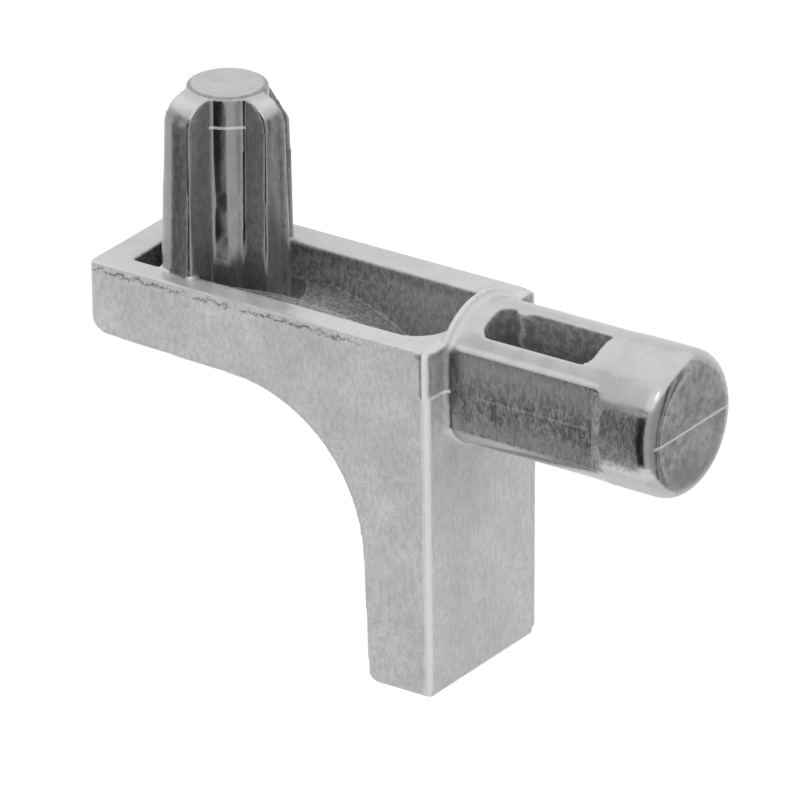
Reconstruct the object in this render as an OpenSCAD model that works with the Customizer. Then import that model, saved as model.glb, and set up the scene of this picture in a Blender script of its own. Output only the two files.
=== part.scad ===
// Shelf support pin: a one-piece zinc die casting.
//
// The round pin goes into the cabinet wall along +X, the shelf lies on the open top
// of the bracket, and the finned post locates in a hole in the shelf's underside.
// Millimetres, +Z up. The origin is on the pin's axis, where the pin leaves the wall face.

/* [Pin] */
// Diameter of the pin's round end, a sliding fit in a standard 5 mm system hole
pin_d = 4.95; // [4.6:0.05:5.2]
// How much thinner the slotted shank is than the round end
shank_relief = 0.08; // [0.02:0.02:0.3]
// Length of the pin outside the wall face
pin_len = 8.15; // [7.4:0.05:10]
// Radius on the edge of the pin's end
pin_end_r = 0.6; // [0.2:0.05:0.8]
// Half the distance across the two side flats
flat_half = 2.05; // [1.9:0.05:2.3]
// How far the side flats run out from the wall face
flat_len = 5.95; // [5.3:0.05:6.5]
// Radius of the fillet between the pin and the wall face
pin_root_r = 0.25; // [0.1:0.05:0.4]
// How far the pin's round top runs back over the bracket
pin_back = 0.15; // [0.1:0.05:0.6]

/* [Slot in the pin] */
// Distance from the wall face to the near end of the slot
slot_start = 0.9; // [0.6:0.05:1.2]
// Distance from the wall face to the far end of the slot
slot_end = 5.1; // [4:0.05:5.5]
// Width of the slot, measured from the pin's middle towards its front
slot_w = 1.45; // [1:0.05:1.6]
// Depth of the slot below the crown of the pin
slot_depth = 3.4; // [1:0.1:3.6]
// Corner radius of the slot
slot_corner_r = 0.4; // [0.2:0.05:0.5]

/* [Bracket] */
// Height of the top face above the pin's axis
top_z = 1.6; // [1.4:0.05:2]
// Length of the arm from its free end to the wall face
arm_len = 13.4; // [12.8:0.1:16]
// Width of the bracket at its top face
body_w = 6.2; // [5.8:0.1:8]
// Height of the bracket from its foot to its top face
body_h = 12.25; // [11.5:0.05:14]
// Thickness of the arm at its free end
arm_t = 2.47; // [2.3:0.01:2.8]
// Thickness of the leg at its foot
leg_t = 2.49; // [2.2:0.01:2.8]
// Radius of the arc between the arm and the leg
arc_r = 5.2; // [4.5:0.1:6]
// Slope of the arm's underside, in degrees
arm_slope = 1.9; // [0:0.1:3]
// Slope of the leg's front face, in degrees
leg_slope = 2.3; // [0:0.1:3]
// Draft of the two side faces, in degrees
side_draft = 0.7; // [0:0.1:1.5]

/* [Pocket] */
// Thickness of the end wall at the arm's free end
end_wall = 1.15; // [0.9:0.05:1.4]
// Thickness of the front wall
front_wall = 0.96; // [0.7:0.01:1.2]
// Thickness of the back wall
back_wall = 1.2; // [0.7:0.01:1.3]
// Thickness of the wall between the pocket and the wall face
root_wall = 0.65; // [0.5:0.05:1]
// Thickness of the skin left under the pocket
floor_t = 1.45; // [1:0.05:1.6]
// Greatest depth of the pocket
pocket_depth = 4.6; // [3:0.1:5.5]
// Radius of the pocket's front corner beside the pin
pocket_corner_r = 1.25; // [0.6:0.05:1.5]
// How far the pad beside the post stands in from the front wall
pad_w = 0.65; // [0.3:0.05:0.8]
// Radius of the pad's curved edge
pad_r = 7; // [5:0.5:10]

/* [Post] */
// Height of the post above the top face
post_h = 6.05; // [5:0.05:7]
// Distance from the wall face to the post's axis
post_x = 9.93; // [9.6:0.01:10.2]
// Diameter over the fins at the top face
post_d = 4.9; // [4.5:0.05:5]
// Distance from the post's axis to the near side of each front fin, at the top face
fin_near = 0.63; // [0.55:0.01:0.7]
// Thickness of the two fins that point across the arm, at the top face
cross_fin_t = 1.45; // [1.2:0.01:1.5]
// Thickness of the two fins that point along the arm, at the top face
long_fin_t = 1.11; // [1:0.01:1.3]
// Diameter of the core between the fins at the top face
core_d = 2.96; // [2.6:0.02:3.2]
// Diameter of the raised disc on top of the post
post_top_d = 2.4; // [2:0.05:2.6]
// Height of the disc above the fins
cap_h = 0.06; // [0.02:0.02:0.2]
// Height of the rounded shoulders of the two front fins
shoulder_h = 0.95; // [0.7:0.05:1.05]
// Height of the sloping lead-in on the two back fins
lead_h = 2; // [1.5:0.05:2.5]
// Draft of the post and of its fins, in degrees
post_draft = 1.3; // [0.5:0.1:2]
// Turn of the four fins about the post's axis, in degrees
fin_turn = -10.5; // [-45:0.5:45]

/* [Hidden] */
$fn = 80;
arc_fn = 160;
eps = 0.02;
bite = 0.0005;

pin_r = pin_d / 2;
root_r = pin_r - shank_relief / 2;
widen_x = min(slot_end, flat_len - 0.2);
foot_z = top_z - body_h;
half_w = body_w / 2;

// Edge radii of the bracket. The die parts at the height of the pin's axis: the upright
// corners of the wall face are rounder above it than below.
end_corner_r = 0.3;
upper_corner_r = 0.45;
lower_corner_r = 0.15;
under_corner_r = 0.8;
foot_corner_r = 0.35;
heel_corner_r = 0.1;

// The rib on the slot's back wall: distance from the slot's near end, radius, and how
// deep its centre lies behind that wall
rib_x = 0.75;
rib_r = 0.3;
rib_sunk = 0.1;

// The underside of the arm and the front of the leg are two sloping lines, and the arc
// touches both: its centre is arc_r away from each of them.
arm_point = [-arm_len, top_z - arm_t];
arm_normal = [-sin(arm_slope), -cos(arm_slope)];
leg_point = [-leg_t, foot_z];
leg_normal = [-cos(leg_slope), -sin(leg_slope)];
arm_reach = arm_point * arm_normal + arc_r;
leg_reach = leg_point * leg_normal + arc_r;
normals_det = arm_normal.x * leg_normal.y - arm_normal.y * leg_normal.x;
arc_x = (arm_reach * leg_normal.y - leg_reach * arm_normal.y) / normals_det;
arc_z = (leg_reach * arm_normal.x - arm_reach * leg_normal.x) / normals_det;
arc_centre = [arc_x, arc_z];
arm_tangent = arc_centre - arc_r * arm_normal;
leg_tangent = arc_centre - arc_r * leg_normal;

// The pocket follows the arc from inside
pocket_x0 = -arm_len + end_wall;
pocket_x1 = -root_wall;
pocket_y0 = -half_w + front_wall;
pocket_y1 = half_w - back_wall;
pocket_floor = arc_z + arc_r + floor_t;
pad_x = -6.1;
pad_drop = 0.12;

// The post runs down into the pocket's floor
post_foot = 1.9;
post_r = post_d / 2;
post_taper = tan(post_draft);
fin_top = post_h - cap_h;

// ---------- helpers ----------

// What a radius r takes off the corner at p, where two sides leave p along the unit
// vectors u and v. The arc is larger by bite, so that it crosses both sides cleanly.
module corner_cut(p, r, u, v) {
    half_angle = acos(u * v) / 2;
    reach = r / tan(half_angle);
    centre = p + (u + v) / norm(u + v) * r / sin(half_angle);
    difference() {
        polygon([
            p - (u + v) * eps,
            p + u * reach - v * eps,
            centre,
            p + v * reach - u * eps
        ]);
        translate(centre)
            circle(r + bite);
    }
}

// Turns a drawing in X and Z into a solid that runs along Y, centred
module along_y(length) {
    rotate([90, 0, 0])
        linear_extrude(length, center = true)
            children();
}

// Turns a profile of (radius, distance) into a solid about the X axis
module about_x() {
    rotate([0, 90, 0])
        rotate_extrude()
            children();
}

// ---------- bracket ----------

// Side view: arm, leg and the arc between them
module side_outline() {
    difference() {
        polygon([
            [-arm_len, top_z],
            [0, top_z],
            [0, foot_z],
            leg_point,
            leg_tangent,
            arc_centre,
            arm_tangent,
            arm_point
        ]);
        translate(arc_centre)
            circle(arc_r, $fn = arc_fn);
        corner_cut(arm_point, under_corner_r, [0, 1], [cos(arm_slope), -sin(arm_slope)]);
        corner_cut(leg_point, foot_corner_r, [1, 0], [-sin(leg_slope), cos(leg_slope)]);
        corner_cut([0, foot_z], heel_corner_r, [-1, 0], [0, 1]);
    }
}

// All that lies inside the front face, which leans in towards the foot. Its upright
// corner at the wall face has one radius above the parting line and one below.
module inside_of_front() {
    spare = 1;
    translate([0, -half_w, top_z])
        rotate([side_draft, 0, 0])
            difference() {
                translate([-arm_len, 0, -body_h - spare])
                    cube([arm_len, 2 * body_w, body_h + 2 * spare]);
                translate([0, 0, -body_h - 2 * spare])
                    linear_extrude(body_h + 4 * spare) {
                        corner_cut([-arm_len, 0], end_corner_r, [1, 0], [0, 1]);
                        corner_cut([0, 0], lower_corner_r, [-1, 0], [0, 1]);
                    }
                translate([0, 0, -top_z])
                    linear_extrude(body_h)
                        corner_cut([0, 0], upper_corner_r, [-1, 0], [0, 1]);
            }
}

module bracket_block() {
    intersection() {
        along_y(2 * body_w)
            side_outline();
        inside_of_front();
        mirror([0, 1, 0])
            inside_of_front();
    }
}

// ---------- pocket ----------

// The pocket seen from above, with one large corner beside the pin
module pocket_plan() {
    difference() {
        translate([pocket_x0, pocket_y0])
            square([pocket_x1 - pocket_x0, pocket_y1 - pocket_y0]);
        corner_cut([pocket_x1, pocket_y0], pocket_corner_r, [-1, 0], [0, 1]);
    }
}

// The curved pad that thickens the front wall beside the post
module pad_plan() {
    translate([pad_x, pocket_y0 + pad_w - pad_r])
        circle(pad_r, $fn = arc_fn);
}

// The trough seen from the side: level under the arm, then down along the arc
module trough_side() {
    bottom = top_z - pocket_depth;
    difference() {
        translate([pocket_x0 - eps, bottom])
            square([pocket_x1 - pocket_x0 + 2 * eps, pocket_depth + 1]);
        translate(arc_centre)
            circle(arc_r + floor_t, $fn = arc_fn);
        translate([-2 * arm_len, bottom - eps])
            square([2 * arm_len + arc_x, pocket_floor - bottom + eps]);
    }
}

module pocket() {
    intersection() {
        along_y(2 * body_w)
            trough_side();
        translate([0, 0, foot_z])
            linear_extrude(body_h + 1)
                difference() {
                    pocket_plan();
                    pad_plan();
                }
    }
    // over the pad the pocket is only a shallow step
    translate([0, 0, top_z - pad_drop])
        linear_extrude(1)
            pocket_plan();
}

// ---------- post ----------

// Half section of the post's envelope: straight foot inside the arm, tapered side,
// rounded shoulder and flat top under the disc
module post_section() {
    shoulder_z = fin_top - shoulder_h;
    shoulder_r = post_r - shoulder_z * post_taper;
    round_x = shoulder_r - shoulder_h;
    polygon([
        [0, -post_foot],
        [post_r, -post_foot],
        [post_r, 0],
        [shoulder_r, shoulder_z],
        [round_x, shoulder_z],
        [round_x, fin_top],
        [0, fin_top]
    ]);
    intersection() {
        translate([round_x, shoulder_z])
            circle(shoulder_h);
        translate([round_x, shoulder_z])
            square([shoulder_h, shoulder_h]);
    }
}

// What the lead-in takes off one back fin, the one that points along +Y: all that lies
// above a slope from the disc's edge down to the fin's tip
module lead_in() {
    disc_r = post_top_d / 2;
    slope = atan(lead_h / (post_r - disc_r));
    translate([0, disc_r, fin_top])
        rotate([-slope, 0, 0])
            translate([-post_r, -1, 0])
                cube([post_d, 2 * lead_h, lead_h]);
}

// One blade through the axis, thinner towards its top: it makes two opposite fins. The
// side towards the front flute is fin_near away from the axis.
module fin_blade(thickness) {
    reach = 2 * post_d;
    intersection() {
        translate([0, -fin_near, 0])
            rotate([-post_draft, 0, 0])
                translate([-reach, 0, -reach])
                    cube([2 * reach, reach, 2 * reach]);
        translate([0, thickness - fin_near, 0])
            rotate([post_draft, 0, 0])
                translate([-reach, -reach, -reach])
                    cube([2 * reach, reach, 2 * reach]);
    }
}

// Four fins and the tapered core between them
module post_cross() {
    core_r = core_d / 2;
    difference() {
        union() {
            fin_blade(long_fin_t);
            rotate([0, 0, 90])
                fin_blade(cross_fin_t);
        }
        lead_in();
        rotate([0, 0, 90])
            lead_in();
    }
    translate([0, 0, -post_foot])
        cylinder(
            h = post_foot + post_h,
            r1 = core_r + post_foot * post_taper,
            r2 = core_r - post_h * post_taper
        );
}

module post() {
    translate([-post_x, 0, top_z])
        rotate([0, 0, fin_turn]) {
            intersection() {
                rotate_extrude()
                    post_section();
                post_cross();
            }
            translate([0, 0, fin_top - cap_h])
                cylinder(h = 2 * cap_h, d = post_top_d);
        }
}

// ---------- pin ----------

// Half section of the pin: rounded crown behind the wall face, root fillet, shank that
// widens beyond the slot, and straight barrel with a rounded end
module pin_section() {
    difference() {
        translate([0, -pin_back])
            square([pin_r, pin_len + pin_back]);
        polygon([
            [root_r, -pin_back - eps],
            [root_r, widen_x],
            [pin_r, flat_len],
            [pin_d, flat_len],
            [pin_d, -pin_back - eps]
        ]);
        corner_cut([pin_r, pin_len], pin_end_r, [-1, 0], [0, -1]);
        corner_cut([root_r, -pin_back], pin_back, [-1, 0], [0, 1]);
    }
    // the root fillet
    difference() {
        translate([0, -eps])
            square([root_r + pin_root_r, pin_root_r + eps]);
        translate([root_r + pin_root_r, pin_root_r])
            circle(pin_root_r);
    }
}

// What is cut away to leave one side flat, seen from above
module flat_plan() {
    difference() {
        translate([0, -pin_d])
            square([flat_len, pin_d - flat_half]);
        corner_cut([0, -flat_half], pin_root_r, [1, 0], [0, -1]);
        corner_cut([flat_len, -flat_half], pin_root_r, [-1, 0], [0, -1]);
    }
}

// The slot in the pin's crown, between the pin's middle and its front. A half-round
// rib stands on the slot's back wall.
module slot_plan() {
    slot_len = slot_end - slot_start;
    translate([slot_start, -slot_w])
        difference() {
            square([slot_len, slot_w]);
            corner_cut([0, 0], slot_corner_r, [1, 0], [0, 1]);
            corner_cut([0, slot_w], slot_corner_r, [1, 0], [0, -1]);
            corner_cut([slot_len, 0], slot_corner_r, [-1, 0], [0, 1]);
            translate([rib_x, slot_w + rib_sunk])
                circle(rib_r);
        }
}

module pin() {
    difference() {
        about_x()
            pin_section();
        for (side = [0, 1])
            mirror([0, side, 0])
                translate([0, 0, -pin_d])
                    linear_extrude(2 * pin_d)
                        flat_plan();
    }
}

module slot() {
    translate([0, 0, pin_r - slot_depth])
        linear_extrude(slot_depth + 1)
            slot_plan();
}

// ---------- the casting ----------

module shelf_support() {
    color([0.72, 0.72, 0.71]) {
        difference() {
            union() {
                difference() {
                    bracket_block();
                    pocket();
                }
                pin();
            }
            slot();
        }
        post();
    }
}

shelf_support();
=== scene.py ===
"""Shelf support pin, a nickel-plated zinc casting, with its finish, lamps and camera."""
import math

import bpy
import numpy as np
from bpy.props import FloatProperty, FloatVectorProperty, IntProperty, PointerProperty
from mathutils import Matrix, Vector


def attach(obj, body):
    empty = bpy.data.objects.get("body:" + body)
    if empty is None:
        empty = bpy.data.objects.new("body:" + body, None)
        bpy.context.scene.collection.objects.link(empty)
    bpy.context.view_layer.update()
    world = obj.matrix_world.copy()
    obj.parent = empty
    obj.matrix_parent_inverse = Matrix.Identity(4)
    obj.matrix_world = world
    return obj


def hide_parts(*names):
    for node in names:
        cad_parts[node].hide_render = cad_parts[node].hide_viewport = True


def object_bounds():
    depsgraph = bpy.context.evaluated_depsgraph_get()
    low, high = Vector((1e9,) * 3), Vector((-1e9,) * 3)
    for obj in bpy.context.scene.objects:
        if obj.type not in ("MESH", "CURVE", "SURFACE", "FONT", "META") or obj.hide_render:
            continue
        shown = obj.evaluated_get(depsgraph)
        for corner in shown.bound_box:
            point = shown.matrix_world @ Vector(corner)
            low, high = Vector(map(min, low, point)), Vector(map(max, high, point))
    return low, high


bl_info = {
    "name": "Shelf Support Pin",
    "version": (1, 0, 0),
    "blender": (4, 5, 0),
    "location": "View3D > Sidebar > Shelf Pin",
    "description": "Turns the cast solid into a finished casting and sets up its studio",
    "category": "Object",
}

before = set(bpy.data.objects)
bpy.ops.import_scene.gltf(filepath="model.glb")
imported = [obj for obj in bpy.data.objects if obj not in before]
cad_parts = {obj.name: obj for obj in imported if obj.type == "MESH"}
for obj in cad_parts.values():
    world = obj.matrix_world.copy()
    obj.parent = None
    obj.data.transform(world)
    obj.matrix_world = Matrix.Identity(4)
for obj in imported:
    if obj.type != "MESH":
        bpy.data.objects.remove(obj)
cad_low, cad_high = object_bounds()

NODE = "shelf_support"
MM = 0.001

# Places on the casting, in millimetres, in the frame's axes: the pin runs along +X from
# the wall face at X = 0, and the shelf lies on the top face.
top_z = 1.6
half_width = 3.1
side_draft = math.radians(0.7)
pin_end_x = cad_high.x / MM
foot_z = cad_low.z / MM
shank_radius = 2.435
flat_end_x = 5.95
slot_x = (0.9, 5.1)
slot_y = (-1.45, 0.0)
pocket_x = (-12.25, -0.65)
pocket_y = (-2.14, 1.9)
post_at = (-9.93, 0.0)

# How far below the shank's surface the beads along the flats lie, and how far they lie
# above the pin's middle, as seen along the pin
bead_depth = 0.06
bead_angle = math.radians(37)

# The ridges on the upright corners of the wall face: distance from the wall face, how far
# in from the side face, and the heights between which each runs
ridge_runs = ((-0.13, 0.05, 1.52, 0.0), (-0.05, 0.06, -0.02, -10.4))

# Radius of the crest that ends the root fillet, and of the round collar behind it
crest_radius = 2.64
collar_radius = 0.11

# Centre of the arc between the arm and the leg, in X and Z, and the radius at which the
# skin ends and the pocket begins
arc_centre = (-7.87, -6.26)
skin_reach = 5.9

# How strong each dark patch is, from 0 to 1: a few are the plating's own marks, most are painted
# shade
stain_and_shade_shares = {
    "post_foot": 0.38,
    "underside_shade": 0.7,
    "left_fin_shade": 1.0,
    "right_fin": 0.6,
    "disc": 0.14,
    "disc_edge_shadow": 0.5,
    "flute_shade": 0.45,
    "pocket_crease_shade": 0.35,
    "under_rim_shade": 0.5,
    "below_barrel": 0.2,
    "flat_end": 0.2,
    "flat_root_shade": 0.9,
    "pin_shadow_on_wall": 0.3,
}

# Lines that the finish draws, in metres: the witness line's height on the post, the rib's
# place in the slot, the lowest and highest run of the broken flash below the rim, and
# where the groove beside the wall face's ridge lies low and high on the face
witness_z = 0.00660
rib_x = 0.00172
flash_z = (0.00128, 0.00146)
groove_x = (-0.00019, -0.00031)

# The cards that the plating reflects: name, azimuths in degrees and brightness
ring_cards = (
    ("card_left", -179, -152, 0.55),
    ("card_left_dark", -151.5, -140, 0.06),
    ("card_left_grey", -139.5, -119, 0.46),
    ("card_black", -118.5, -67, 0.02),
    ("card_front", -66.5, -36, 0.52),
    ("card_front_grey", -35.5, 5, 0.40),
    ("card_thin_black", 5.5, 17, 0.04),
    ("card_right_light", 17.5, 29, 0.50),
    ("card_right_dark", 29.5, 39, 0.10),
    ("card_right_near", 39.5, 51, 0.68),
    ("card_right_grey", 51.5, 60, 0.28),
    ("card_right_far", 60.5, 80, 0.74),
    ("card_back", 80.5, 180, 0.85),
)


class CastingSettings(bpy.types.PropertyGroup):
    """Sizes of the skin and of the flash left by the die."""

    skin_step: FloatProperty(
        name="Skin step",
        description="Spacing of the points on the finished skin",
        default=0.00007,
        min=0.00005,
        max=0.0003,
        unit="LENGTH",
        precision=6,
    )
    edge_rounds: IntProperty(
        name="Edge rounding",
        description="How many times the skin is relaxed, which rounds its edges",
        default=3,
        min=0,
        max=20,
    )
    most_triangles: IntProperty(
        name="Most triangles",
        description="The skin is thinned on its flat faces until it has this many triangles",
        default=190000,
        min=20000,
        max=195000,
    )
    bead_radius: FloatProperty(
        name="Bead radius",
        description="Radius of the bead of flash along the pin's side flats",
        default=0.00014,
        min=0.00005,
        max=0.0003,
        unit="LENGTH",
        precision=5,
    )
    ridge_radius: FloatProperty(
        name="Ridge radius",
        description="Radius of the ridge on the upright corners of the wall face",
        default=0.00010,
        min=0.00005,
        max=0.0003,
        unit="LENGTH",
        precision=5,
    )


class FinishSettings(bpy.types.PropertyGroup):
    """Colours and gloss of the nickel plating."""

    nickel: FloatVectorProperty(
        name="Nickel",
        description="Colour of the bright plating",
        default=(0.61, 0.61, 0.60),
        subtype="COLOR",
        min=0.0,
        max=1.0,
    )
    dull_nickel: FloatVectorProperty(
        name="Dull nickel",
        description="Colour of the plating in pits and in the pocket",
        default=(0.30, 0.30, 0.29),
        subtype="COLOR",
        min=0.0,
        max=1.0,
    )
    skin_pale: FloatVectorProperty(
        name="Pale skin",
        description="Lighter colour of the cast skin",
        default=(0.71, 0.71, 0.70),
        subtype="COLOR",
        min=0.0,
        max=1.0,
    )
    # painted highlight: the crest faces away from the light and is painted pale, with almost no
    # metal sheen, so that it reads as lit plating
    crest_painted_highlight: FloatVectorProperty(
        name="Crest",
        description="Colour of the low crest between the rim and the crown",
        default=(0.60, 0.60, 0.59),
        subtype="COLOR",
        min=0.0,
        max=1.0,
    )
    skin_dark: FloatVectorProperty(
        name="Dark skin",
        description="Darker colour of the cast skin",
        default=(0.63, 0.63, 0.62),
        subtype="COLOR",
        min=0.0,
        max=1.0,
    )
    # Dark colour of the plating's own dark marks and of the mottling, also used for painted shade
    # in the creases, the recesses, between the post's fins and under the pin
    stain_and_shade_colour: FloatVectorProperty(
        name="Stain",
        description="Colour of the stains and of the mottling on the pin's sides",
        default=(0.11, 0.11, 0.11),
        subtype="COLOR",
        min=0.0,
        max=1.0,
    )
    # painted shade: the dark colour inside the slot
    slot_shade_tone: FloatVectorProperty(
        name="Slot",
        description="Colour inside the pin's slot",
        default=(0.24, 0.24, 0.24),
        subtype="COLOR",
        min=0.0,
        max=1.0,
    )
    skin_metal: FloatProperty(
        name="Skin sheen",
        description="How metallic the cast skin looks",
        default=0.3,
        min=0.0,
        max=1.0,
        subtype="FACTOR",
    )
    bright_roughness: FloatProperty(
        name="Bright roughness",
        description="Roughness of the plating on the post, the rim and the pin",
        default=0.20,
        min=0.0,
        max=1.0,
        subtype="FACTOR",
    )
    skin_roughness: FloatProperty(
        name="Skin roughness",
        description="Roughness of the cast skin on the bracket's outer faces",
        default=0.52,
        min=0.0,
        max=1.0,
        subtype="FACTOR",
    )


class StageSettings(bpy.types.PropertyGroup):
    """Camera, floor, reflecting cards and lamps."""

    azimuth: FloatProperty(
        name="Azimuth",
        description="Turn of the camera about the upright axis",
        default=math.radians(34.651),
        subtype="ANGLE",
        unit="ROTATION",
    )
    elevation: FloatProperty(
        name="Elevation",
        description="Height of the camera above the horizon",
        default=math.radians(24.796),
        subtype="ANGLE",
        unit="ROTATION",
    )
    roll: FloatProperty(
        name="Roll",
        description="Tilt of the camera about its own line of sight",
        default=math.radians(0.387),
        subtype="ANGLE",
        unit="ROTATION",
    )
    distance: FloatProperty(
        name="Distance",
        description="Distance from the camera to the point it looks at",
        default=0.44281,
        unit="LENGTH",
    )
    aim: FloatVectorProperty(
        name="Aim",
        description="Point the camera looks at",
        default=(-0.0016016, -0.0023518, -0.0006486),
        subtype="TRANSLATION",
        unit="LENGTH",
    )
    lens: FloatProperty(
        name="Lens",
        description="Focal length in millimetres, on a sensor 36 mm wide",
        default=619.45,
        min=50.0,
        max=1000.0,
    )
    floor_z: FloatProperty(
        name="Floor height",
        description="Height of the floor below the held part",
        default=-0.24,
        unit="LENGTH",
    )
    ring_radius: FloatProperty(
        name="Card ring radius",
        description="Distance from the part to the ring of cards that it reflects",
        default=0.18,
        unit="LENGTH",
    )
    ring_top: FloatProperty(
        name="Card ring top",
        description="Height of the upper edge of the cards",
        default=0.096,
        unit="LENGTH",
    )
    lamp_energy: FloatProperty(
        name="Lamp energy",
        description="Power of the soft lamp at the upper left",
        default=0.3,
        min=0.0,
        max=50.0,
        unit="POWER",
    )


# ---------- helpers ----------


def select_only(piece):
    """Leaves one object selected and active, in object mode."""
    if bpy.context.object and bpy.context.object.mode != "OBJECT":
        bpy.ops.object.mode_set(mode="OBJECT")
    bpy.ops.object.select_all(action="DESELECT")
    piece.select_set(True)
    bpy.context.view_layer.objects.active = piece


def apply_modifiers(piece):
    select_only(piece)
    for name in [modifier.name for modifier in piece.modifiers]:
        bpy.ops.object.modifier_apply(modifier=name)


def scale_about_origin(piece, factor):
    """Scales a piece's mesh, and leaves its object unscaled."""
    select_only(piece)
    bpy.ops.object.mode_set(mode="EDIT")
    bpy.ops.mesh.select_all(action="SELECT")
    bpy.ops.transform.resize(value=(factor, factor, factor), center_override=(0, 0, 0))
    bpy.ops.object.mode_set(mode="OBJECT")


def step_between(values, low, high):
    """Rises smoothly from 0 at low to 1 at high."""
    share = np.clip((values - low) / (high - low), 0.0, 1.0)
    return share * share * (3.0 - 2.0 * share)


def inside(values, low, high, soft):
    """1 between low and high, fading to 0 over the distance soft outside them."""
    return step_between(values, low - soft, low) * (1.0 - step_between(values, high, high + soft))


# ---------- the casting ----------


def copy_of_solid():
    """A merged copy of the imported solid, in millimetres, to be skinned."""
    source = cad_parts[NODE]
    select_only(source)
    bpy.ops.object.duplicate()
    casting = bpy.context.object
    casting.name = "shelf_pin_casting"
    casting.data.name = "shelf_pin_casting"
    casting.parent = None
    for key in [key for key in casting.keys() if key.startswith("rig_")]:
        del casting[key]
    select_only(casting)
    bpy.ops.object.mode_set(mode="EDIT")
    bpy.ops.mesh.select_all(action="SELECT")
    bpy.ops.mesh.remove_doubles(threshold=1e-7)
    bpy.ops.object.mode_set(mode="OBJECT")
    scale_about_origin(casting, 1 / MM)
    return casting


def bead(start, end, radius):
    """A round bead with rounded ends from start to end, in millimetres."""
    start, end = Vector(start), Vector(end)
    bpy.ops.object.select_all(action="DESELECT")
    bpy.ops.mesh.primitive_cylinder_add(
        vertices=16,
        radius=radius,
        depth=(end - start).length,
        location=(start + end) / 2,
        rotation=(end - start).to_track_quat("Z", "Y").to_euler(),
    )
    made = bpy.context.object
    bpy.ops.object.mode_set(mode="EDIT")
    bpy.ops.mesh.select_all(action="SELECT")
    bpy.ops.mesh.bevel(offset=radius * 0.6, segments=2, affect="EDGES")
    bpy.ops.object.mode_set(mode="OBJECT")
    bpy.ops.object.transform_apply(location=True, rotation=True, scale=True)
    return made


def collar():
    """The low round collar behind the crest of the root fillet."""
    bpy.ops.object.select_all(action="DESELECT")
    bpy.ops.mesh.primitive_torus_add(
        align="WORLD",
        location=(-collar_radius, 0, 0),
        rotation=(0, math.pi / 2, 0),
        major_segments=96,
        minor_segments=16,
        major_radius=crest_radius - collar_radius,
        minor_radius=collar_radius,
    )
    return bpy.context.object


def flash_beads(settings):
    """The beads that the die left along the pin's side flats and the wall face's corners."""
    bead_at = shank_radius - bead_depth
    z = bead_at * math.sin(bead_angle)
    lean = math.tan(side_draft)
    beads = []
    for side in (-1, 1):
        y = side * bead_at * math.cos(bead_angle)
        start, end = (0.25, y, z), (flat_end_x - 0.1, y, z)
        beads.append(bead(start, end, settings.bead_radius / MM))
    beads.append(collar())
    for side in (-1, 1):
        for x, inset, high, low in ridge_runs:
            out = half_width - inset
            start = (x, side * (out - (top_z - high) * lean), high)
            end = (x, side * (out - (top_z - low) * lean), low)
            beads.append(bead(start, end, settings.ridge_radius / MM))
    return beads


def skin(casting, step, rounds, most_triangles):
    """Closes solid and beads into one cast skin with softened edges."""
    remesh = casting.modifiers.new("skin", "REMESH")
    remesh.mode = "VOXEL"
    remesh.voxel_size = step
    remesh.adaptivity = 0.0
    remesh.use_smooth_shade = True
    if rounds:
        relax = casting.modifiers.new("relax", "SMOOTH")
        relax.factor = 0.5
        relax.iterations = rounds
    apply_modifiers(casting)
    count = 2 * len(casting.data.polygons)
    if count > most_triangles:
        thin = casting.modifiers.new("thin", "DECIMATE")
        thin.ratio = most_triangles / count
        apply_modifiers(casting)


def paint(piece, name, values):
    layer = piece.data.attributes.new(name, "FLOAT", "POINT")
    layer.data.foreach_set("value", np.clip(values, 0.0, 1.0).astype(np.float32))


class Places:
    """Where the points of the skin lie, in millimetres, and which way they face."""

    def __init__(self, piece):
        mesh = piece.data
        count = len(mesh.vertices)
        points = np.zeros(count * 3, np.float32)
        normals = np.zeros(count * 3, np.float32)
        mesh.vertices.foreach_get("co", points)
        mesh.vertex_normals.foreach_get("vector", normals)
        points = points.reshape(-1, 3) / MM
        normals = normals.reshape(-1, 3)
        self.x, self.y, self.z = points[:, 0], points[:, 1], points[:, 2]
        self.facing_wall = normals[:, 0]
        self.facing_side = np.abs(normals[:, 1])
        self.facing_up = normals[:, 2]
        self.off_axis = np.hypot(self.y, self.z)
        away_x, away_y = self.x - post_at[0], self.y - post_at[1]
        self.beside_post = np.abs(away_x)
        self.off_post = np.hypot(away_x, away_y)
        self.round_post = np.arctan2(away_y, away_x)
        self.off_arc = np.hypot(
            np.maximum(self.x - arc_centre[0], 0.0), np.maximum(self.z - arc_centre[1], 0.0)
        )


def post_zone(at):
    """The post, without the pocket's back wall, which stands close to it."""
    back_wall = (
        step_between(at.y, 1.7, 1.85)
        * step_between(at.beside_post, 1.0, 1.15)
        * (1 - step_between(at.z, 1.5, 1.6))
    )
    post = (1 - step_between(at.off_post, 2.5, 2.56)) * step_between(at.z, 0.0, 0.2)
    return post * (1 - back_wall)


def crown_zone(at):
    """The pin's round top where it runs on over the bracket."""
    return (
        step_between(at.off_axis, 2.2, 2.3)
        * step_between(at.x, -0.55, -0.4)
        * step_between(at.z, 1.3, 1.5)
    )


def crest_zone(at):
    """The low crest that the root fillet makes round the crown, over the rim."""
    return (
        inside(at.x, -0.35, 0.10, 0.12)
        * step_between(at.z, 1.45, 1.7)
        * step_between(at.off_axis, 2.43, 2.48)
    )


def slot_zone(at):
    return (
        inside(at.x, slot_x[0], slot_x[1], 0.12)
        * inside(at.y, slot_y[0] - 0.02, slot_y[1] + 0.02, 0.1)
        * (1 - step_between(at.off_axis, 2.36, 2.43))
    )


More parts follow.
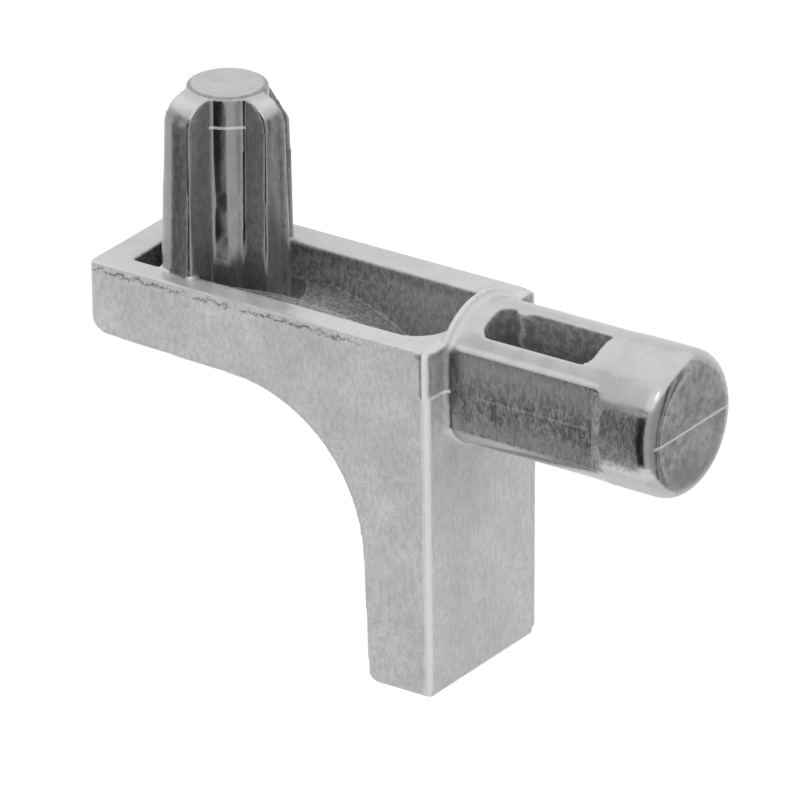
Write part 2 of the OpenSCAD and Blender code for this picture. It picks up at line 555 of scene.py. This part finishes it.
def pocket_zone(at):
    return (
        inside(at.x, pocket_x[0] + 0.02, pocket_x[1] - 0.02, 0.1)
        * inside(at.y, pocket_y[0] + 0.02, pocket_y[1] - 0.02, 0.1)
        * (1 - step_between(at.z, top_z - 0.10, top_z - 0.02))
        * step_between(at.off_arc, skin_reach - 0.2, skin_reach + 0.2)
        * step_between(at.z, foot_z + 0.4, foot_z + 1.2)
        * step_between(-at.x, 0.1, 0.3)
    )


def ridge_zone(at):
    """The ridges on the upright corners of the wall face, which get a painted highlight."""
    across = np.abs(at.y)
    on_corner = (
        inside(at.x, -0.22, 0.02, 0.06)
        * step_between(across, 2.85, 2.95)
        * (1 - step_between(at.z, 1.5, 1.6))
    )
    flat_part = step_between(at.facing_wall, 0.9, 0.98) * step_between(-across, -3.0, -2.95)
    return on_corner * (1 - flat_part)


def flat_end_zone(at):
    """Where the front flat runs out into the pin's round end."""
    return (
        inside(at.x, 5.7, 6.1, 0.1)
        * inside(at.z, -1.3, 0.9, 0.15)
        * (1 - step_between(at.y, -1.9, -1.7))
    )


def mottled_zone(at, pin, slot, flat_end):
    """The mottled sides of the pin: the flats, the round end's sides and the step between."""
    side_flat = pin * step_between(at.facing_side, 0.8, 0.97) * (1 - step_between(at.x, 5.8, 5.95))
    barrel = step_between(at.x, 5.7, 5.95) * (1 - step_between(at.x, 7.5, 7.8))
    mottled = np.maximum(
        side_flat * (1 - 0.8 * step_between(at.z, -0.1, 1.0)) * (1 - slot),
        barrel * inside(at.z, -0.85, 0.9, 0.3) * 0.6,
    )
    mottled *= 1 - 0.7 * inside(at.z, -1.2, -0.85, 0.12) * (1 - barrel)
    return np.maximum(mottled, flat_end * 0.9)


def stain_and_shade_zone(at, post, pin, pocket, flat_end):
    """The dark patches of the plating: darker patches on the right fin, the disc's top, the
    barrel's underside and the flat's end, and painted shade at the post's foot, along the shank's
    underside, on the left fin, under the disc's edge, between the post's fins, in the pocket's
    creases and under its rim, at the flat's root and on the wall face beside the pin.
    """
    outer = post * step_between(at.off_post, 2.0, 2.2) * (1 - step_between(at.z, 6.6, 7.0))
    low_part = (1 - step_between(at.z, 1.5, 2.9)) * (1 - step_between(at.off_post, 2.25, 2.5))
    # painted shade: a dark band along the underside of the shank, following this slanting height
    underside_shade_z = -1.9 + 0.1425 * (at.x - 1.7)
    stains_and_shade = {
        # painted shade on the lower part of the post, where it stands down into the pocket
        "post_foot": post * low_part,
        "underside_shade": pin
        * inside(at.z - underside_shade_z, -0.1, 0.1, 0.1)
        * inside(at.x, 1.0, 5.6, 0.3)
        * (1 - step_between(at.facing_up, -0.4, -0.2)),
        # painted shade down the outer side of the left fin
        "left_fin_shade": outer * inside(at.round_post, math.radians(-104), math.radians(-91), 0.05),
        "right_fin": outer * inside(at.round_post, math.radians(-9.5), math.radians(-6), 0.03),
        "disc": post * step_between(at.z, 7.5, 7.6),
        # painted shadow under the edge of the disc on top of the post
        "disc_edge_shadow": inside(at.off_post, 1.22, 1.30, 0.05) * step_between(at.z, 7.45, 7.52),
        # painted shade in the grooves between the post's fins
        "flute_shade": post * inside(at.off_post, 1.6, 2.22, 0.06) * (1 - step_between(at.z, 6.9, 7.2)),
        # painted shade in the pocket's creases and corners
        "pocket_crease_shade": pocket * inside(at.facing_side, 0.15, 0.9, 0.1),
        # painted shade on the upper part of the pocket's walls, under the rim
        "under_rim_shade": pocket * step_between(at.z, 0.9, 1.6),
        "below_barrel": step_between(at.x, 5.9, 6.1) * (1 - step_between(at.z, -1.3, -0.9)),
        "flat_end": flat_end,
        # painted shade where the flat meets the root fillet
        "flat_root_shade": pin
        * inside(at.x, 0.1, 0.35, 0.3)
        * inside(at.z, -0.3, 1.3, 0.3)
        * step_between(at.facing_side, 0.3, 0.6),
        # painted shadow of the pin on the wall face
        "pin_shadow_on_wall": (1 - pin)
        * step_between(at.facing_wall, 0.5, 0.9)
        * step_between(at.z, -0.1, 0.1),
    }
    return np.maximum.reduce([zone * stain_and_shade_shares[name] for name, zone in stains_and_shade.items()])


def paint_finish_zones(piece):
    """Marks the plated parts, the worn edges, the recesses and the mottled sides of the
    pin, the dark patches with the painted shade among them, and where painted highlights go. The
    material reads these marks."""
    at = Places(piece)
    post = post_zone(at)
    rim = step_between(at.z, top_z - 0.12, top_z - 0.04) * step_between(at.facing_up, 0.5, 0.9)
    pin = step_between(at.x, 0.03, 0.2)
    crown = crown_zone(at)
    crown_root = crown * (1 - step_between(at.x, 0.1, 0.3))
    crest = crest_zone(at)
    slot = slot_zone(at)
    pocket = pocket_zone(at) * (1 - post) * (1 - crown) * (1 - crest)
    flat_end = flat_end_zone(at)
    under_pin = inside(at.x, 0.4, 5.8, 0.15) * (1 - step_between(at.z, -1.45, -1.3))
    bright = np.maximum.reduce([post, rim, pin, crown, crest]) * (1 - pocket) * (1 - slot)
    worn = (
        inside(at.facing_side, 0.35, 0.9, 0.08)
        * (1 - bright)
        * (1 - pocket)
        * (1 - slot)
        * (1 - step_between(at.x, -0.6, -0.5))
    )
    # the witness line across the core in the post's front flute
    core = 1 - step_between(at.off_post, 1.40, 1.50)
    zones = {
        "bright": bright,
        "worn": worn,
        "pocket": pocket,
        "slot": slot,
        "mottled": mottled_zone(at, pin, slot, flat_end),
        "stain_and_shade_mask": stain_and_shade_zone(at, post, pin, pocket, flat_end),
        "witness": post * core * inside(at.round_post, -1.75, -0.2, 0.1),
        "ridge": ridge_zone(at),
        "crest": crest,
        "satin": np.maximum.reduce(
            [crown_root, rim * (1 - pin), under_pin, flat_end * 0.8, worn * 0.6]
        ),
        "end_face": step_between(at.facing_wall, 0.8, 0.95)
        * step_between(at.x, pin_end_x - 0.3, pin_end_x - 0.1),
    }
    for name, zone in zones.items():
        paint(piece, name, zone)


class SHELFPIN_OT_casting(bpy.types.Operator):
    """Makes the casting: the solid with its flash, under one skin with soft edges"""

    bl_idname = "shelfpin.casting"
    bl_label = "Cast Body"

    def execute(self, context):
        settings = context.scene.shelfpin_casting
        casting = copy_of_solid()
        beads = flash_beads(settings)
        bpy.ops.object.select_all(action="DESELECT")
        for made in beads:
            made.select_set(True)
        casting.select_set(True)
        bpy.context.view_layer.objects.active = casting
        bpy.ops.object.join()
        skin(
            casting,
            settings.skin_step / MM,
            settings.edge_rounds,
            settings.most_triangles,
        )
        scale_about_origin(casting, MM)
        if len(casting.data.polygons) < 10000:
            raise RuntimeError("the skin came out too coarse")
        paint_finish_zones(casting)
        casting.data.materials.clear()
        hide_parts(NODE)
        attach(casting, "root")
        return {"FINISHED"}


# ---------- the finish ----------


class NodeSheet:
    """Adds nodes to a material or a world and links them, one call for each node."""

    def __init__(self, owner):
        self.tree = owner.node_tree
        self.tree.nodes.clear()

    def add(self, kind, inputs=None, **settings):
        node = self.tree.nodes.new(kind)
        for name, value in settings.items():
            setattr(node, name, value)
        for name, value in (inputs or {}).items():
            self.set(node, name, value)
        return node

    def set(self, node, name, value):
        """Links a socket to an input, or writes a plain number or colour on it."""
        socket = node.inputs[name]
        if isinstance(value, bpy.types.NodeSocket):
            self.tree.links.new(value, socket)
        else:
            socket.default_value = value

    def math(self, operation, a, b=None, clamp=False):
        node = self.add("ShaderNodeMath", operation=operation, use_clamp=clamp)
        self.set(node, 0, a)
        if b is not None:
            self.set(node, 1, b)
        return node.outputs[0]

    def times(self, first, *others):
        """Multiplies numbers."""
        for other in others:
            first = self.math("MULTIPLY", first, other)
        return first

    def most(self, first, *others):
        """The largest of some numbers."""
        for other in others:
            first = self.math("MAXIMUM", first, other)
        return first

    def off(self, value, centre):
        """How far a number is from a centre."""
        return self.math("ABSOLUTE", self.math("SUBTRACT", value, centre))

    def mix(self, factor, a, b):
        """Mixes two numbers."""
        node = self.add("ShaderNodeMix", data_type="FLOAT")
        self.set(node, 0, factor)
        self.set(node, 2, a)
        self.set(node, 3, b)
        return node.outputs[0]

    def mix_colour(self, factor, a, b):
        """Mixes two colours."""
        node = self.add("ShaderNodeMix", data_type="RGBA")
        self.set(node, 0, factor)
        self.set(node, 6, a)
        self.set(node, 7, b)
        return node.outputs[2]

    def noise(self, where, scale, detail=2.0, roughness=0.5, distortion=0.0):
        return self.add(
            "ShaderNodeTexNoise",
            {
                "Vector": where,
                "Scale": scale,
                "Detail": detail,
                "Roughness": roughness,
                "Distortion": distortion,
            },
        ).outputs["Fac"]

    def range(self, value, low, high, to_low=0.0, to_high=1.0):
        """Goes smoothly from to_low, where the value is low, to to_high."""
        node = self.add("ShaderNodeMapRange", interpolation_type="SMOOTHSTEP")
        self.set(node, "Value", value)
        self.set(node, "From Min", low)
        self.set(node, "From Max", high)
        self.set(node, "To Min", to_low)
        self.set(node, "To Max", to_high)
        return node.outputs[0]

    def attribute(self, name):
        return self.add("ShaderNodeAttribute", attribute_name=name).outputs["Fac"]

    def bump(self, height, distance, normal=None):
        node = self.add("ShaderNodeBump", {"Height": height, "Distance": distance, "Strength": 1.0})
        if normal is not None:
            self.set(node, "Normal", normal)
        return node.outputs[0]


def opaque(colour):
    return (*colour, 1.0)


def new_material(name):
    """A new material and the sheet of its nodes."""
    material = bpy.data.materials.new(name)
    material.use_nodes = True
    return material, NodeSheet(material)


class Marks:
    """What the plating reads: places on the casting, the painted zones and the noises."""

    def __init__(self, sheet):
        place = sheet.add("ShaderNodeTexCoord").outputs["Object"]
        self.x, self.y, self.z = sheet.add("ShaderNodeSeparateXYZ", {0: place}).outputs
        self.off_line = sheet.math("ABSOLUTE", self.z)
        self.bright = sheet.attribute("bright")
        self.worn = sheet.attribute("worn")
        self.pocket = sheet.attribute("pocket")
        self.slot = sheet.attribute("slot")
        self.mottled = sheet.attribute("mottled")
        self.stain_and_shade_mask = sheet.attribute("stain_and_shade_mask")
        self.witness = sheet.attribute("witness")
        self.ridge = sheet.attribute("ridge")
        self.crest = sheet.attribute("crest")
        self.satin = sheet.attribute("satin")
        self.end_face = sheet.attribute("end_face")
        self.plated = sheet.most(self.bright, self.worn)

        drawn = sheet.add("ShaderNodeMapping", {"Vector": place, "Scale": (1.0, 1.0, 0.55)})
        self.fine = sheet.noise(place, 14000.0, 2.0, 0.6)
        self.dapple = sheet.noise(place, 3400.0, 3.0, 0.6)
        self.grain = sheet.noise(drawn.outputs[0], 6200.0, 3.0, 0.65)
        self.mottle = sheet.noise(drawn.outputs[0], 7500.0, 4.0, 0.7, 0.3)
        self.cloud = sheet.noise(place, 900.0, 3.0, 0.6)
        self.broad = sheet.noise(place, 260.0, 2.0, 0.5)


def parting_line(sheet, marks):
    """The line across the pin at the height of its axis: on the flats and the end face."""
    on_flat = sheet.range(marks.x, 0.0053, 0.0057, 1.0, 0.0)
    return sheet.times(
        sheet.range(marks.off_line, 0.000025, 0.00006, 1.0, 0.0),
        sheet.range(marks.x, 0.0009, 0.0014),
        sheet.most(on_flat, marks.end_face),
    )


def broken_flash(sheet, marks):
    """The ragged line of flash just below the rim of the front face."""
    wander = sheet.range(marks.dapple, 0.3, 0.7, *flash_z)
    return sheet.times(
        sheet.range(sheet.off(marks.z, wander), 0.00002, 0.00008, 1.0, 0.0),
        sheet.range(marks.cloud, 0.42, 0.50),
        sheet.range(marks.y, -0.0030, -0.0028, 1.0, 0.0),
        sheet.range(marks.x, -0.004, -0.001, 1.0, 0.0),
        sheet.range(marks.fine, 0.45, 0.60, 1.0, 0.3),
        0.8,
    )


def corner_groove_shade(sheet, marks):
    """Painted shade: a dark line in the groove beside the ridge on the wall face's corners."""
    groove_at = sheet.range(marks.z, -0.00005, 0.00005, *groove_x)
    return sheet.times(
        sheet.range(sheet.off(marks.x, groove_at), 0.00002, 0.00008, 0.6, 0.0),
        sheet.range(sheet.math("ABSOLUTE", marks.y), 0.0027, 0.0029),
    )


def pale_lines_and_highlights(sheet, marks, parting):
    """The parting line, the witness line on the post, and painted highlights on the step
    line on the wall face and on the ridges on its corners."""
    off_witness = sheet.off(marks.z, witness_z)
    # painted highlight along the step on the wall face
    step_highlight = sheet.times(
        sheet.range(marks.off_line, 0.00003, 0.00008, 0.9, 0.0),
        sheet.range(marks.x, -0.00028, -0.00018),
        sheet.range(marks.x, 0.00015, 0.0002, 1.0, 0.0),
    )
    return sheet.most(
        sheet.times(parting, sheet.mix(marks.end_face, 0.25, 0.8)),
        sheet.times(sheet.range(off_witness, 0.00003, 0.00007, 1.0, 0.0), marks.witness),
        # painted highlights on the step and on the ridges
        sheet.most(step_highlight, sheet.times(marks.ridge, 0.8)),
    )


def plating_colour(sheet, marks, settings, lines_and_highlights):
    nickel, dull = opaque(settings.nickel), opaque(settings.dull_nickel)
    pale, dark = opaque(settings.skin_pale), opaque(settings.skin_dark)
    stain_and_shade_colour = opaque(settings.stain_and_shade_colour)

    speck = sheet.most(
        sheet.range(marks.fine, 0.36, 0.47, 0.35, 0.0),
        sheet.range(marks.grain, 0.34, 0.60, 0.32, 0.0),
    )
    skin_tone = sheet.mix_colour(sheet.range(marks.cloud, 0.3, 0.7), dark, pale)
    skin_tone = sheet.mix_colour(speck, skin_tone, dull)
    skin_tone = sheet.mix_colour(sheet.range(marks.broad, 0.35, 0.65, 0.20, 0.0), skin_tone, dull)
    plate_tone = sheet.mix_colour(sheet.range(marks.cloud, 0.35, 0.6, 0.16, 0.0), nickel, dull)
    colour = sheet.mix_colour(marks.plated, skin_tone, plate_tone)

    # the dark patches, painted shade among them, are mottled
    blot_and_shade = sheet.times(sheet.range(marks.mottle, 0.38, 0.60, 1.0, 0.65), marks.stain_and_shade_mask)
    stain_and_shade_share = sheet.most(
        sheet.times(sheet.range(marks.mottle, 0.42, 0.57, 0.66, 0.0), marks.mottled),
        blot_and_shade,
        broken_flash(sheet, marks),
        corner_groove_shade(sheet, marks),
        sheet.times(sheet.range(marks.dapple, 0.36, 0.60, 0.32, 0.0), marks.end_face),
    )
    colour = sheet.mix_colour(stain_and_shade_share, colour, stain_and_shade_colour)

    # painted shade: the pocket is painted darkest under the post
    pocket_tone_and_shade = sheet.mix_colour(sheet.range(marks.x, -0.0075, -0.0015), stain_and_shade_colour, dull)
    pocket_tone_and_shade = sheet.mix_colour(
        sheet.range(marks.mottle, 0.42, 0.58, 0.06, 0.44), pocket_tone_and_shade, pale
    )
    colour = sheet.mix_colour(sheet.times(marks.pocket, 0.9), colour, pocket_tone_and_shade)
    colour = sheet.mix_colour(blot_and_shade, colour, stain_and_shade_colour)

    # painted shade: the inside of the slot is painted dark, paler over the rib near its inner end
    rib = sheet.range(sheet.off(marks.x, rib_x), 0.0001, 0.0004, 0.6, 0.3)
    slot_shade_tone = sheet.mix_colour(
        sheet.times(sheet.range(marks.dapple, 0.4, 0.62), rib), opaque(settings.slot_shade_tone), pale
    )
    colour = sheet.mix_colour(marks.slot, colour, slot_shade_tone)
    colour = sheet.mix_colour(lines_and_highlights, colour, pale)
    # painted highlight: the crest is painted pale
    return sheet.mix_colour(marks.crest, colour, opaque(settings.crest_painted_highlight))


def plating_metal(sheet, marks, settings, lines_and_highlights):
    metal = sheet.mix(marks.plated, settings.skin_metal, 1.0)
    metal = sheet.mix(marks.pocket, metal, 0.3)
    metal = sheet.mix(marks.slot, metal, 0.4)
    metal = sheet.mix(marks.satin, metal, 0.45)
    metal = sheet.mix(marks.stain_and_shade_mask, metal, 0.5)
    metal = sheet.mix(marks.crest, metal, 0.05)
    return sheet.math("SUBTRACT", metal, sheet.times(lines_and_highlights, 0.6), clamp=True)


def plating_roughness(sheet, marks, settings):
    skin, bright = settings.skin_roughness, settings.bright_roughness
    rough = sheet.mix(
        marks.plated,
        sheet.range(marks.grain, 0.3, 0.7, skin - 0.08, skin + 0.08),
        sheet.range(marks.cloud, 0.3, 0.7, bright - 0.05, bright + 0.07),
    )
    rough = sheet.mix(marks.mottled, rough, 0.24)
    return sheet.mix(sheet.most(marks.pocket, marks.slot), rough, 0.42)


def plating_relief(sheet, marks, parting):
    skin_share = sheet.math("SUBTRACT", 1.0, marks.plated, clamp=True)
    bump = None
    for height, share, depth in (
        (marks.grain, skin_share, 0.000034),
        (marks.mottle, marks.mottled, 0.000012),
        (marks.cloud, marks.plated, 0.000010),
        (marks.mottle, marks.plated, 0.000004),
        (parting, marks.end_face, 0.00002),
    ):
        bump = sheet.bump(sheet.times(height, share), depth, normal=bump)
    return bump


def nickel_finish(settings):
    """Nickel plating over a zinc casting: bright on the post, the rim and the pin, satin
    on the cast skin, mottled on the pin's sides and dull in the recesses. Painted shade darkens the
    recesses, the creases, the post's foot, the shank's underside and the wall face beside the pin,
    and painted highlights lighten the crest, the ridges and the step on the wall face."""
    material, sheet = new_material("nickel_plated_casting")
    marks = Marks(sheet)
    parting = parting_line(sheet, marks)
    lines_and_highlights = pale_lines_and_highlights(sheet, marks, parting)
    shader = sheet.add(
        "ShaderNodeBsdfPrincipled",
        {
            "Base Color": plating_colour(sheet, marks, settings, lines_and_highlights),
            "Metallic": plating_metal(sheet, marks, settings, lines_and_highlights),
            "Roughness": plating_roughness(sheet, marks, settings),
            "Normal": plating_relief(sheet, marks, parting),
        },
    )
    sheet.add("ShaderNodeOutputMaterial", {"Surface": shader.outputs[0]})
    return material


class SHELFPIN_OT_finish(bpy.types.Operator):
    """Gives the casting its nickel plating"""

    bl_idname = "shelfpin.finish"
    bl_label = "Plate Casting"

    def execute(self, context):
        casting = bpy.data.objects.get("shelf_pin_casting")
        if casting is None:
            raise RuntimeError("cast the body before it is plated")
        casting.data.materials.clear()
        casting.data.materials.append(nickel_finish(context.scene.shelfpin_finish))
        return {"FINISHED"}


# ---------- the stage ----------


def glowing(name, brightness):
    """A plain white card that gives off an even light."""
    material, sheet = new_material(name)
    glow = sheet.add(
        "ShaderNodeEmission", {"Color": (1.0, 1.0, 1.0, 1.0), "Strength": brightness}
    )
    sheet.add("ShaderNodeOutputMaterial", {"Surface": glow.outputs[0]})
    return material


def seen_directly(sheet):
    """1 for the camera and for what the plating reflects, 0 for the light on the part."""
    path = sheet.add("ShaderNodeLightPath")
    return sheet.most(path.outputs["Is Camera Ray"], path.outputs["Is Glossy Ray"])


def floor_finish():
    """Pale floor that shows white and keeps shadows."""
    material, sheet = new_material("pale_floor")
    paper = sheet.add("ShaderNodeBsdfDiffuse", {"Color": (0.8, 0.8, 0.8, 1.0)})
    lift = sheet.add(
        "ShaderNodeEmission",
        {"Color": (1, 1, 1, 1), "Strength": sheet.times(seen_directly(sheet), 0.18)},
    )
    both = sheet.add("ShaderNodeAddShader", {0: paper.outputs[0], 1: lift.outputs[0]})
    sheet.add("ShaderNodeOutputMaterial", {"Surface": both.outputs[0]})
    return material


def reflected_only(card):
    """Leaves a card where only mirror-like surfaces show it."""
    card.visible_camera = False
    card.visible_diffuse = False
    card.visible_shadow = False
    card.visible_transmission = False
    card.visible_volume_scatter = False


def ring_card(name, from_deg, to_deg, radius, low, high, brightness, top_radius=None):
    """A curved card on a ring round the part, between two azimuths. It stands upright
    unless its upper edge has a radius of its own."""
    if top_radius is None:
        top_radius = radius
    bpy.ops.object.select_all(action="DESELECT")
    bpy.ops.mesh.primitive_plane_add(size=1.0)
    card = bpy.context.object
    card.name = name
    bpy.ops.object.mode_set(mode="EDIT")
    bpy.ops.mesh.select_all(action="SELECT")
    bpy.ops.mesh.subdivide(number_cuts=15)
    bpy.ops.object.mode_set(mode="OBJECT")
    for vertex in card.data.vertices:
        turn = math.radians(from_deg + (vertex.co.x + 0.5) * (to_deg - from_deg))
        rise = vertex.co.y + 0.5
        reach = radius + rise * (top_radius - radius)
        height = low + rise * (high - low)
        vertex.co = (reach * math.cos(turn), reach * math.sin(turn), height)
    card.data.materials.append(glowing(name, brightness))
    reflected_only(card)


def set_world():
    """A white studio, a little brighter for the light on the part than for the eye."""
    world = bpy.data.worlds.new("white_studio")
    bpy.context.scene.world = world
    world.use_nodes = True
    sheet = NodeSheet(world)
    strength = sheet.add(
        "ShaderNodeMapRange", {"Value": seen_directly(sheet), "To Min": 1.05, "To Max": 1.0}
    )
    sky = sheet.add(
        "ShaderNodeBackground",
        {"Color": (1.0, 1.0, 1.0, 1.0), "Strength": strength.outputs[0]},
    )
    sheet.add("ShaderNodeOutputWorld", {"Surface": sky.outputs[0]})


def aim_camera(settings):
    """The camera, turned about the upright axis, raised, and then rolled."""
    data = bpy.data.cameras.new("camera")
    camera = bpy.data.objects.new("camera", data)
    bpy.context.scene.collection.objects.link(camera)
    data.sensor_width = 36.0
    data.lens = settings.lens
    data.clip_start = 0.01
    data.clip_end = 20.0
    a, e = settings.azimuth, settings.elevation
    back = Vector((math.sin(a) * math.cos(e), -math.cos(a) * math.cos(e), math.sin(e)))
    right = Vector((math.cos(a), math.sin(a), 0.0))
    up = back.cross(right)
    turned_right = right * math.cos(settings.roll) - up * math.sin(settings.roll)
    turned_up = right * math.sin(settings.roll) + up * math.cos(settings.roll)
    turn = Matrix((turned_right, turned_up, back)).transposed().to_4x4()
    camera.matrix_world = (
        Matrix.Translation(Vector(settings.aim) + back * settings.distance) @ turn
    )
    bpy.context.scene.camera = camera


def soft_lamp(name, azimuth_deg, elevation_deg, distance, size, energy):
    """A round lamp turned to the part, which only lights it and isn't reflected."""
    data = bpy.data.lights.new(name, "AREA")
    data.shape = "DISK"
    data.size = size
    data.energy = energy
    lamp = bpy.data.objects.new(name, data)
    bpy.context.scene.collection.objects.link(lamp)
    turn, lift = math.radians(azimuth_deg), math.radians(elevation_deg)
    reach = math.cos(lift)
    away = Vector((math.cos(turn) * reach, math.sin(turn) * reach, math.sin(lift)))
    lamp.location = away * distance
    lamp.rotation_euler = away.to_track_quat("Z", "Y").to_euler()
    lamp.visible_camera = False
    lamp.visible_glossy = False


class SHELFPIN_OT_stage(bpy.types.Operator):
    """Sets the floor, the reflecting cards, the lamp and the camera"""

    bl_idname = "shelfpin.stage"
    bl_label = "Set Stage"

    def execute(self, context):
        settings = context.scene.shelfpin_stage
        bpy.ops.object.select_all(action="DESELECT")
        bpy.ops.mesh.primitive_plane_add(size=12.0, location=(0, 0, settings.floor_z))
        floor = bpy.context.object
        floor.name = "floor"
        floor.data.materials.append(floor_finish())
        radius, low, high = settings.ring_radius, settings.floor_z + 0.002, settings.ring_top
        for name, from_deg, to_deg, brightness in ring_cards:
            ring_card(name, from_deg, to_deg, radius, low, high, brightness)
        ring_card("card_upper", -165, -95, radius, high + 0.001, 0.17, 0.78, top_radius=0.11)
        ring_card("card_bright", -44, -26, 0.15, 0.12, 0.15, 2.4, top_radius=0.13)
        soft_lamp("lamp_left", -152, 53, 0.5, 0.14, settings.lamp_energy)
        set_world()
        aim_camera(settings)
        bpy.context.scene.view_settings.view_transform = "Standard"
        return {"FINISHED"}


class SHELFPIN_PT_panel(bpy.types.Panel):
    """Lists the steps that make the part"""

    bl_idname = "SHELFPIN_PT_panel"
    bl_label = "Shelf Pin"
    bl_space_type = "VIEW_3D"
    bl_region_type = "UI"
    bl_category = "Shelf Pin"

    def draw(self, context):
        layout = self.layout
        scene = context.scene
        for group, operator in (
            (scene.shelfpin_casting, "shelfpin.casting"),
            (scene.shelfpin_finish, "shelfpin.finish"),
            (scene.shelfpin_stage, "shelfpin.stage"),
        ):
            box = layout.box()
            for name in group.bl_rna.properties.keys():
                if name not in {"rna_type", "name"}:
                    box.prop(group, name)
            box.operator(operator)


CLASSES = (
    CastingSettings,
    FinishSettings,
    StageSettings,
    SHELFPIN_OT_casting,
    SHELFPIN_OT_finish,
    SHELFPIN_OT_stage,
    SHELFPIN_PT_panel,
)


def register():
    for cls in CLASSES:
        bpy.utils.register_class(cls)
    bpy.types.Scene.shelfpin_casting = PointerProperty(type=CastingSettings)
    bpy.types.Scene.shelfpin_finish = PointerProperty(type=FinishSettings)
    bpy.types.Scene.shelfpin_stage = PointerProperty(type=StageSettings)


def unregister():
    del bpy.types.Scene.shelfpin_stage
    del bpy.types.Scene.shelfpin_finish
    del bpy.types.Scene.shelfpin_casting
    for cls in reversed(CLASSES):
        bpy.utils.unregister_class(cls)


def main():
    register()
    bpy.ops.shelfpin.casting()
    bpy.ops.shelfpin.finish()
    bpy.ops.shelfpin.stage()


if __name__ == "__main__":
    main()
